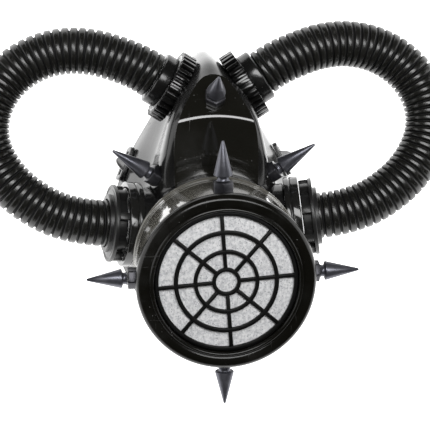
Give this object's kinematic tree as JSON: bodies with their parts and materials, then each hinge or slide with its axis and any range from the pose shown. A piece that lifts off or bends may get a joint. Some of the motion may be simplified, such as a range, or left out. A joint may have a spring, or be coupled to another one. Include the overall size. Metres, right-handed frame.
{
  "type": "spiked costume breathing mask",
  "caption": "Hollow half-face costume mask with a front filter canister, corrugated side hoses and screwed-on cone spikes, lying on its face rim.",
  "frame": {"origin": "middle of the box's underside, on the surface the face rim lies on, without the hoses", "axes": "+Z out of the face, +Y towards the nose, +X to the right as the mask is looked at"},
  "size_m": [0.2664, 0.2056, 0.1117],
  "materials": {
    "rubber": "glossy moulded rubber",
    "gloss_plastic": "polished black plastic with fine scratches",
    "satin_plastic": "satin black plastic",
    "hose_plastic": "satin charcoal corrugated plastic",
    "gunmetal": "semi-gloss gunmetal plating",
    "felt": "pale grey fibrous felt"
  },
  "bodies": {
    "root": {"facepiece": "rubber", "front_shell": "gloss_plastic", "canister_body": "gloss_plastic", "canister_bezel": "gloss_plastic", "grille": "satin_plastic", "filter_pad": "felt", "spike_nut_top": "gunmetal", "spike_cone_top": "gunmetal", "spike_nut_bottom": "gunmetal", "spike_cone_bottom": "gunmetal", "spike_nut_left": "gunmetal", "spike_cone_left": "gunmetal", "spike_nut_right": "gunmetal", "spike_cone_right": "gunmetal", "spike_nut_nose": "gunmetal", "spike_cone_nose": "gunmetal", "spike_nut_cheek_l": "gunmetal", "spike_cone_cheek_l": "gunmetal", "spike_nut_cheek_r": "gunmetal", "spike_cone_cheek_r": "gunmetal", "knurled_ring_l": "satin_plastic", "hose_collar_l": "satin_plastic", "valve_base_l": "satin_plastic", "valve_cover_l": "satin_plastic", "strap_buckle_l": "satin_plastic", "hose_l": "hose_plastic", "knurled_ring_r": "satin_plastic", "hose_collar_r": "satin_plastic", "valve_base_r": "satin_plastic", "valve_cover_r": "satin_plastic", "strap_buckle_r": "satin_plastic", "hose_r": "hose_plastic"}
  },
  "joints": []
}
